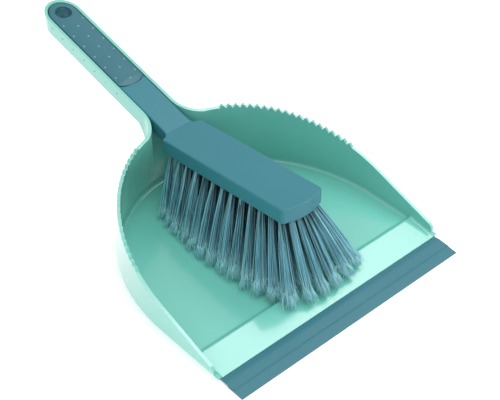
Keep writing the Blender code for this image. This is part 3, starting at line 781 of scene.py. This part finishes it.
# ---- bristle tufts ----
tuft = {
    "outer": 13, "inner": 12, "nose": 4, "radius": 0.0021, "edgeX": 0.0050, "edgeNose": 0.0065,
    "edgeCorner": 0.0115, "edgeBack": 0.0095, "clearance": 0.0010, "fanMiddle": 2.75, "fanEnds": 2.20,
    "sweepBack": 0.011, "sweepFront": 0.029, "fill": 0.84, "fillAcross": 0.60,
    "fibres": 64, "fibreRadius": 0.00025, "points": 6, "sunk": 0.002, "drift": 0.006,
    "lengthSpread": 0.07, "bow": 0.0006, "kink": 0.0005, "stray": 0.22, "strand": 0.92,
    "clumps": 8, "clumping": 0.62, "toneSpread": 0.85,
    "flags": 4, "flagStart": 0.30, "flagSpread": 0.0017, "flagRadius": 0.00017, "floorClear": 0.0005,
    "strayInner": 0.4, "middleX": 0.004, "toneMiddle": 0.85, "paintedSideShade": 0.60, "tipThin": 0.55,
    "flagKink": 0.25, "flagTone": 0.25, "flagThin": 0.5, "flagPlaces": (0.9, 1.0, 1.0),
}
tuftFront = headNose + tuft["edgeNose"]
tuftBack = brush["neck"] - tuft["edgeBack"]


def tuftRoots():
    half = brush["headWidth"] / 2 - tuft["edgeX"]
    inner = half / 3
    corner = headNose + tuft["edgeCorner"]
    pitch = (tuftBack - corner) / (tuft["outer"] - 1)
    roots = []
    for side, word in ((-1, "left"), (1, "right")):
        for number in range(tuft["outer"]):
            roots.append((f"tuft_{word}_{number + 1:02d}", side * half, corner + pitch * number, 2 * inner))
        for number in range(tuft["inner"]):
            roots.append((f"tuft_inner_{word}_{number + 1:02d}", side * inner,
                          corner + pitch * (number + 0.5), 2 * inner))
    space = 2 * half / (tuft["nose"] + 1)
    for number in range(tuft["nose"]):
        x = space * (number + 1) - half
        bulge = brush["noseRadius"] - math.sqrt(brush["noseRadius"] ** 2 - x * x)
        roots.append((f"tuft_nose_{number + 1:02d}", x, tuftFront + bulge, space))
    return roots, pitch


def tuftAxis(x, y):
    share = (y - tuftFront) / (tuftBack - tuftFront)
    fan = tuft["fanMiddle"] - (tuft["fanMiddle"] - tuft["fanEnds"]) * (2 * share - 1) ** 2
    sweep = tuft["sweepBack"] + (tuft["sweepFront"] - tuft["sweepBack"]) * (1 - share) ** 2
    height = pan["rampCrestHeight"] + (pan["floor"] - pan["rampCrestHeight"]) * share + tuft["clearance"]
    drift = tuft["drift"] * (1 - share) ** 2
    return (Vector((x, y, brushUnderside(y))), Vector((x * fan + drift, y - sweep, height)), fan)


# Tubes along lines of points: lines is (count, points, 3), radii is (points,).
def tubes(lines, radii, tones, alongs, shade, sides=3):
    tangent = np.gradient(lines, axis=1)
    tangent /= np.linalg.norm(tangent, axis=2, keepdims=True)
    acrossFibres = (0.31, 0.87, 0.12)
    first = np.cross(tangent, acrossFibres)
    first /= np.linalg.norm(first, axis=2, keepdims=True)
    second = np.cross(tangent, first)
    angles = np.arange(sides) * 2 * math.pi / sides
    ring = (first[:, :, None] * np.cos(angles)[:, None] + second[:, :, None] * np.sin(angles)[:, None])
    verts = lines[:, :, None] + ring * np.asarray(radii)[None, :, None, None]
    count, points = lines.shape[:2]
    index = np.arange(count * points * sides).reshape(count, points, sides)
    after = np.roll(index, -1, axis=2)
    walls = np.stack((index[:, :-1], after[:, :-1], after[:, 1:], index[:, 1:]), axis=-1).reshape(-1, 4)
    tone = np.repeat(tones, points * sides)
    along = np.tile(np.repeat(alongs, sides), count)
    return verts.reshape(-1, 3), walls, index[:, -1], tone, along, np.full(len(tone), shade)


def fibreLines(rng, mouth, tip, turn, axis, radiusX, radiusY):
    count = tuft["fibres"]
    number = np.arange(count) + 0.5
    spin = number * math.pi * (3 - math.sqrt(5)) + rng.uniform(0, 6)
    reach = np.sqrt(number / count)
    disc = np.stack((reach * np.cos(spin), reach * np.sin(spin)), axis=1)
    flat = np.concatenate((disc * tuft["radius"], np.zeros((count, 1))), axis=1)
    root = np.array(mouth - axis * tuft["sunk"]) + flat @ np.array(turn).T
    spread = disc + rng.normal(0.0, tuft["stray"], (count, 2)) * (tuft["strayInner"] + reach[:, None])
    centres = disc[rng.choice(count, tuft["clumps"], replace=False)]
    near = np.argmin(np.linalg.norm(spread[:, None] - centres[None], axis=2), axis=1)
    spread = spread + (centres[near] - spread) * tuft["clumping"] * rng.random((count, 1))
    end = np.array(tip) + np.concatenate((spread * (radiusX, radiusY), np.zeros((count, 1))), axis=1)
    shorter = rng.random(count) ** 2 * tuft["lengthSpread"]
    end = end + (root - end) * shorter[:, None]
    share = np.linspace(0.0, 1.0, tuft["points"])[None, :, None]
    lines = root[:, None] + (end - root)[:, None] * share
    outward = np.array((mouth.x, 0.0, 0.0)) / max(abs(mouth.x), tuft["middleX"])
    bend = outward * tuft["bow"] + rng.normal(0.0, tuft["kink"], (count, 3))
    lines = lines + bend[:, None] * (4 * share * (1 - share))
    return lines, disc[:, 1]


def keepOffFloor(lines):
    low = np.vectorize(floorHeight)(lines[..., 1]) + tuft["floorClear"]
    lines[..., 2] = np.maximum(lines[..., 2], low)
    return lines


def buildTuft(rng, look, name, x, y, space, pitch):
    mouth, tip, fan = tuftAxis(x, y)
    axis = (tip - mouth).normalized()
    turn = Vector((0.0, 0.0, -1.0)).rotation_difference(axis).to_matrix()
    radiusX = tuft["strand"] * tuft["fillAcross"] * fan * space / 2
    radiusY = tuft["strand"] * tuft["fill"] * (tuftAxis(x, y + pitch)[1].y - tip.y) / 2
    # Inner tufts carry painted shade in their fibre colour.
    shade = 1.0 if "inner" in name else 0.0
    lines, sides = fibreLines(rng, mouth, tip, turn, axis, radiusX, radiusY)
    lines = keepOffFloor(lines)
    uneven = tuft["toneSpread"] * rng.uniform(-0.5, 0.5, len(lines))
    # Fibres toward two opposite sides of a tuft are darker: painted shade that rounds each tuft; uneven
    # adds random tone.
    tones = np.clip(tuft["toneMiddle"] - tuft["paintedSideShade"] * sides ** 2 + uneven, 0.0, 1.0)
    points = tuft["points"]
    along = np.linspace(0.0, 1.0, points)
    thin = np.full(points, tuft["fibreRadius"])
    thin[-1] *= tuft["tipThin"]
    parts = [tubes(lines, thin, tones, along, shade)]
    start = lines[:, -2] + (lines[:, -1] - lines[:, -2]) * tuft["flagStart"]
    sizes = (tuft["flagRadius"], tuft["flagRadius"], tuft["flagRadius"] * tuft["flagThin"])
    flagTones = np.clip(tones + tuft["flagTone"], 0, 1)
    for _ in range(tuft["flags"]):
        end = lines[:, -1] + rng.normal(0.0, tuft["flagSpread"], start.shape)
        middle = (start + end) / 2 + rng.normal(0.0, tuft["flagSpread"] * tuft["flagKink"], start.shape)
        flags = keepOffFloor(np.stack((start, middle, end), axis=1))
        parts.append(tubes(flags, sizes, flagTones, tuft["flagPlaces"], shade))
    verts, faces, tone, way, shades, base = [], [], [], [], [], 0
    for spots, walls, caps, spotTone, place, spotShade in parts:
        verts.append(spots)
        faces += (walls + base).tolist() + (caps + base).tolist()
        tone.append(spotTone)
        way.append(place)
        shades.append(spotShade)
        base += len(spots)
    mesh = bpy.data.meshes.new(name)
    mesh.from_pydata(np.concatenate(verts).tolist(), [], faces)
    for label, values in (("tone", tone), ("along", way), ("shade", shades)):
        layer = mesh.attributes.new(label, "FLOAT", "POINT")
        layer.data.foreach_set("value", np.concatenate(values).astype(np.float32))
    item = newObject("bristles_" + name, mesh)
    mesh.transform(toRow)
    mesh.shade_smooth()
    mesh.materials.append(look)
    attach(item, "brush")
    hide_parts(name)


# Where along a fibre, and at which tone, its colours change; the darkening toward the root, stronger on the
# inner tufts, is painted shade under the head and between the tufts.
fibre = {
    "rootEnd": 0.45, "paleLow": 0.50, "paleHigh": 0.80, "darkLow": 0.20, "darkHigh": 0.55,
    "tipLow": 0.66, "tipHigh": 0.96, "shadeLow": 0.35, "shadeHigh": 0.95,
    "grainScale": 2200.0, "grainShare": 0.25, "grainRough": 0.15, "grainHeight": 0.00001,
}


def fibreFinish(name, spec):
    look = Finish(name)
    place = look.node("TexCoord", {}, {}, "Object")
    tone = look.node("Attribute", {"attribute_name": "tone"}, {}, "Fac")
    along = look.node("Attribute", {"attribute_name": "along"}, {}, "Fac")
    shade = look.node("Attribute", {"attribute_name": "shade"}, {}, "Fac")
    # Fibres darken toward the root: painted shade under the head.
    atRoot = look.ramp(along, 0.0, fibre["rootEnd"])
    light = look.ramp(tone, fibre["paleLow"], fibre["paleHigh"]) * spec["toneShare"]
    dark = look.ramp(tone, fibre["darkHigh"], fibre["darkLow"]) * spec["toneShare"]
    tip = look.ramp(along, fibre["tipLow"], fibre["tipHigh"]) * spec["tipShare"]
    # Inner tufts darken further toward the root: painted shade in the gaps between the outer tufts.
    paintedInnerShade = shade * look.ramp(along, fibre["shadeHigh"], fibre["shadeLow"]) * spec["shadeShare"]
    grain = look.noise(place, fibre["grainScale"])
    colour = look.mix(atRoot, spec["root"], spec["middle"])
    colour = look.mix(light, colour, spec["pale"])
    colour = look.mix(dark, colour, spec["root"])
    colour = look.mix(tip, colour, spec["tip"])
    colour = look.mix(paintedInnerShade, colour, spec["root"])
    colour = look.mix(grain * fibre["grainShare"], colour, spec["root"])
    rough = spec["roughness"] + (grain - 0.5) * fibre["grainRough"]
    height = grain * fibre["grainHeight"]
    normal = look.node("Bump", {}, {"Strength": 1.0, "Distance": 1.0, "Height": height})
    look.set(Base_Color=colour, Roughness=rough, Normal=normal)
    return look.material


# ---- floor, light and camera ----
studio = {
    "floorSize": 8.0, "floorDrop": 0.0003, "floorColour": (0.86, 0.86, 0.86),
    "floorLight": (0.9, 0.9, 0.9), "floorCloud": 3.0, "floorRough": 0.9, "floorGlow": 0.40,
    "world": 0.64, "lens": 87.55, "cameraPlace": (-0.4883, -0.6164, 0.6651),
    "cameraTilt": 49.74, "cameraTurn": -41.81,
    "lights": (
        ("softbox", (0.62, 0.02, 0.99), (0.0, -0.12, 0.01), (0.70, 0.45), 3.0),
        ("fill", (-0.95, -0.95, 0.85), (0.0, 0.0, 0.04), (1.2, 1.0), 5.0),
        ("top", (0.15, -0.20, 1.45), (0.0, -0.05, 0.01), (0.70, 0.70), 6.5),
        ("frontStrip", (0.62, -0.90, 0.52), (0.0, 0.0, 0.05), (0.50, 0.07), 1.2),
    ),
}


def buildFloor():
    half = studio["floorSize"] / 2
    mesh = bpy.data.meshes.new("floor")
    corners = [(-half, -half, 0), (half, -half, 0), (half, half, 0), (-half, half, 0)]
    mesh.from_pydata(corners, [], [(0, 1, 2, 3)])
    look = Finish("floor")
    place = look.node("TexCoord", {}, {}, "Object")
    cloud = look.noise(place, studio["floorCloud"])
    look.set(Base_Color=look.mix(cloud, studio["floorColour"], studio["floorLight"]),
             Roughness=studio["floorRough"],
             Emission_Color=(1.0, 1.0, 1.0), Emission_Strength=studio["floorGlow"])
    mesh.materials.append(look.material)
    floor = newObject("floor", mesh)
    floor.location.z = -studio["floorDrop"]


def buildStudio():
    scene = bpy.context.scene
    scene.view_settings.view_transform = "Standard"
    scene.world = bpy.data.worlds.new("studio")
    scene.world.use_nodes = True
    sky = scene.world.node_tree.nodes["Background"]
    sky.inputs["Color"].default_value = (1.0, 1.0, 1.0, 1.0)
    sky.inputs["Strength"].default_value = studio["world"]
    for name, place, aim, size, power in studio["lights"]:
        light = bpy.data.lights.new(name, "AREA")
        light.shape = "RECTANGLE"
        light.size, light.size_y = size
        light.energy = power
        item = newObject(name, light)
        item.location = place
        item.rotation_euler = (Vector(aim) - Vector(place)).to_track_quat("-Z", "Y").to_euler()
    lens = bpy.data.cameras.new("camera")
    lens.lens = studio["lens"]
    camera = newObject("camera", lens)
    camera.location = studio["cameraPlace"]
    camera.rotation_euler = (math.radians(studio["cameraTilt"]), 0.0, math.radians(studio["cameraTurn"]))
    scene.camera = camera


# ---- finishes ----
# highlightTone and highlightShare set the painted highlight along each finish's rounded edges.
mintLook = mouldedFinish("mint_plastic", {
    "dark": tint(110, 198, 184), "light": tint(118, 205, 191), "deep": tint(96, 184, 170),
    "highlightTone": tint(206, 240, 233), "bumpTone": tint(70, 150, 138), "highlightShare": 0.9, "cloudScale": 14.0,
    "grainScale": 900.0, "grainTone": 0.20, "roughness": 0.26, "grainRough": 0.06, "scuff": 0.10,
    "scuffTurn": 1.45, "grainHeight": 0.000003, "waveHeight": 0.00004, "edge": 0.0008, "ior": 1.55,
    "coat": 1.0, "coatRoughness": 0.10})
tealLook = mouldedFinish("teal_plastic", {
    "dark": tint(53, 121, 134), "light": tint(59, 129, 142), "deep": tint(43, 106, 118),
    "highlightTone": tint(128, 182, 190), "bumpTone": tint(120, 176, 186), "highlightShare": 0.9, "cloudScale": 20.0,
    "grainScale": 1300.0, "grainTone": 0.25, "roughness": 0.34, "grainRough": 0.08, "scuff": 0.10,
    "scuffTurn": 0.1, "grainHeight": 0.000006, "waveHeight": 0.00003, "edge": 0.0007, "ior": 1.40,
    "coat": 0.0, "coatRoughness": 0.18})
# The grip's lighter bumpTone is a painted highlight on its bumps.
rubberLook = mouldedFinish("grip_rubber", {
    "dark": tint(48, 106, 118), "light": tint(54, 114, 126), "deep": tint(38, 90, 102),
    "highlightTone": tint(120, 176, 186), "bumpTone": tint(116, 172, 180), "highlightShare": 0.9, "cloudScale": 25.0,
    "grainScale": 1800.0, "grainTone": 0.30, "roughness": 0.50, "grainRough": 0.10, "scuff": 0.05,
    "scuffTurn": 0.1, "grainHeight": 0.000010, "waveHeight": 0.00002, "edge": 0.0005, "ior": 1.45,
    "coat": 0.10, "coatRoughness": 0.30})
lipLook = mouldedFinish("lip_rubber", {
    "dark": tint(54, 116, 129), "light": tint(61, 124, 137), "deep": tint(43, 98, 110),
    "highlightTone": tint(128, 182, 192), "bumpTone": tint(128, 182, 192), "highlightShare": 0.6, "cloudScale": 22.0,
    "grainScale": 1600.0, "grainTone": 0.30, "roughness": 0.40, "grainRough": 0.08, "scuff": 0.08,
    "scuffTurn": 1.5, "grainHeight": 0.000006, "waveHeight": 0.00002, "edge": 0.0003, "ior": 1.36,
    "coat": 0.0, "coatRoughness": 0.20})
bristleLook = fibreFinish("bristle_fibre", {
    "root": tint(10, 38, 54), "middle": tint(104, 184, 204), "tip": tint(182, 246, 254),
    "pale": tint(156, 228, 242), "tipShare": 0.95, "toneShare": 0.85, "shadeShare": 0.85,
    "roughness": 0.38})
print("finishes made")

buildPan(mintLook)
print("pan built")
buildLip(lipLook)
buildBrush(tealLook, ["brush_body"])
print("brush body built")
buildGrip(rubberLook)
print("grip built")
roots, tuftPitch = tuftRoots()
rng = np.random.default_rng(seed)
for rootName, rootX, rootY, rootSpace in roots:
    buildTuft(rng, bristleLook, rootName, rootX, rootY, rootSpace, tuftPitch)
print("bristles built")
buildFloor()
buildStudio()

print("studio built")
